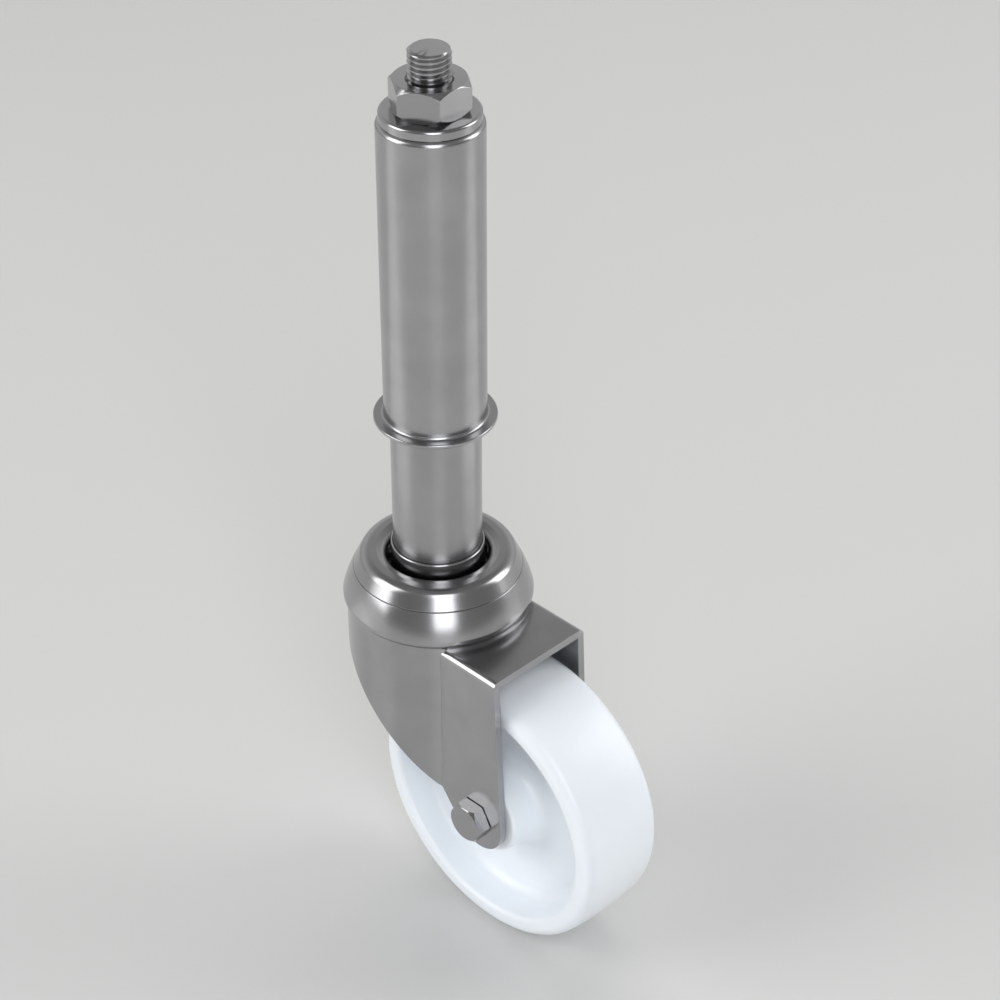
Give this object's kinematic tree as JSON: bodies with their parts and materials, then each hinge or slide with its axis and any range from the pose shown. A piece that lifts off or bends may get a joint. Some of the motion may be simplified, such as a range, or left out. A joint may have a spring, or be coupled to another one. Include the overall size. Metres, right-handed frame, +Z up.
{
  "type": "spring castor",
  "caption": "Swivel castor with a leg sleeve, a sprung sliding column, a ball race head, a pressed steel fork and a plastic wheel.",
  "frame": {"origin": "on the swivel axis at the top face of the sleeve's flange, where a leg tube's end seats", "axes": "+Z up along the swivel axis, +X towards the wheel's axle, Y along the axle"},
  "size_m": [0.0903, 0.0483, 0.2347],
  "materials": {
    "plated_sheet": "satin",
    "plated_fastener": "satin",
    "turned_steel": "satin",
    "spring_steel": "satin",
    "ball_steel": "polished",
    "bush_plastic": "matte",
    "insert_plastic": "matte",
    "wheel_plastic": "satin"
  },
  "bodies": {
    "leg_sleeve_body": {"outer_sleeve": "plated_sheet", "cap_washer": "plated_fastener", "coil_spring": "spring_steel"},
    "column": {"stud": "plated_fastener", "top_nut": "plated_fastener", "stud_lock_nut": "plated_fastener", "spring_seat": "turned_steel", "guide_bush": "bush_plastic", "inner_tube": "plated_sheet", "race_block": "turned_steel"},
    "swivel_head": {"fork": "plated_sheet", "swivel_cup": "plated_sheet", "head_cover": "plated_sheet", "race_plate": "turned_steel", "axle_tube": "turned_steel", "axle_bolt": "plated_fastener", "axle_nut": "plated_fastener", "axle_nut_insert": "insert_plastic"},
    "upper_ball_row": {"upper_balls": "ball_steel"},
    "lower_ball_row": {"lower_balls": "ball_steel"},
    "road_wheel": {"wheel": "wheel_plastic"}
  },
  "joints": [
    {"name": "column_slide", "type": "slide", "parent": "leg_sleeve_body", "child": "column", "axis": [0, 0, 1], "range_m": [0, 0.025], "stiffness_N_per_m": 13500, "springref_m": -0.008, "deforming": ["coil_spring"]},
    {"name": "head_swivel", "type": "hinge", "parent": "column", "child": "swivel_head", "pos_m": [0, 0, -0.05], "axis": [0, 0, 1], "continuous": true},
    {"name": "upper_balls_roll", "type": "hinge", "parent": "column", "child": "upper_ball_row", "pos_m": [0, 0, -0.04373], "axis": [0, 0, 1], "continuous": true},
    {"name": "lower_balls_roll", "type": "hinge", "parent": "column", "child": "lower_ball_row", "pos_m": [0, 0, -0.05059], "axis": [0, 0, 1], "continuous": true},
    {"name": "wheel_spin", "type": "hinge", "parent": "swivel_head", "child": "road_wheel", "pos_m": [0.02865, 0, -0.1021], "axis": [0, 1, 0], "continuous": true}
  ],
  "couplings": [
    {"joint": "upper_balls_roll", "follows": "head_swivel", "ratio": 0.5},
    {"joint": "lower_balls_roll", "follows": "head_swivel", "ratio": 0.5}
  ]
}
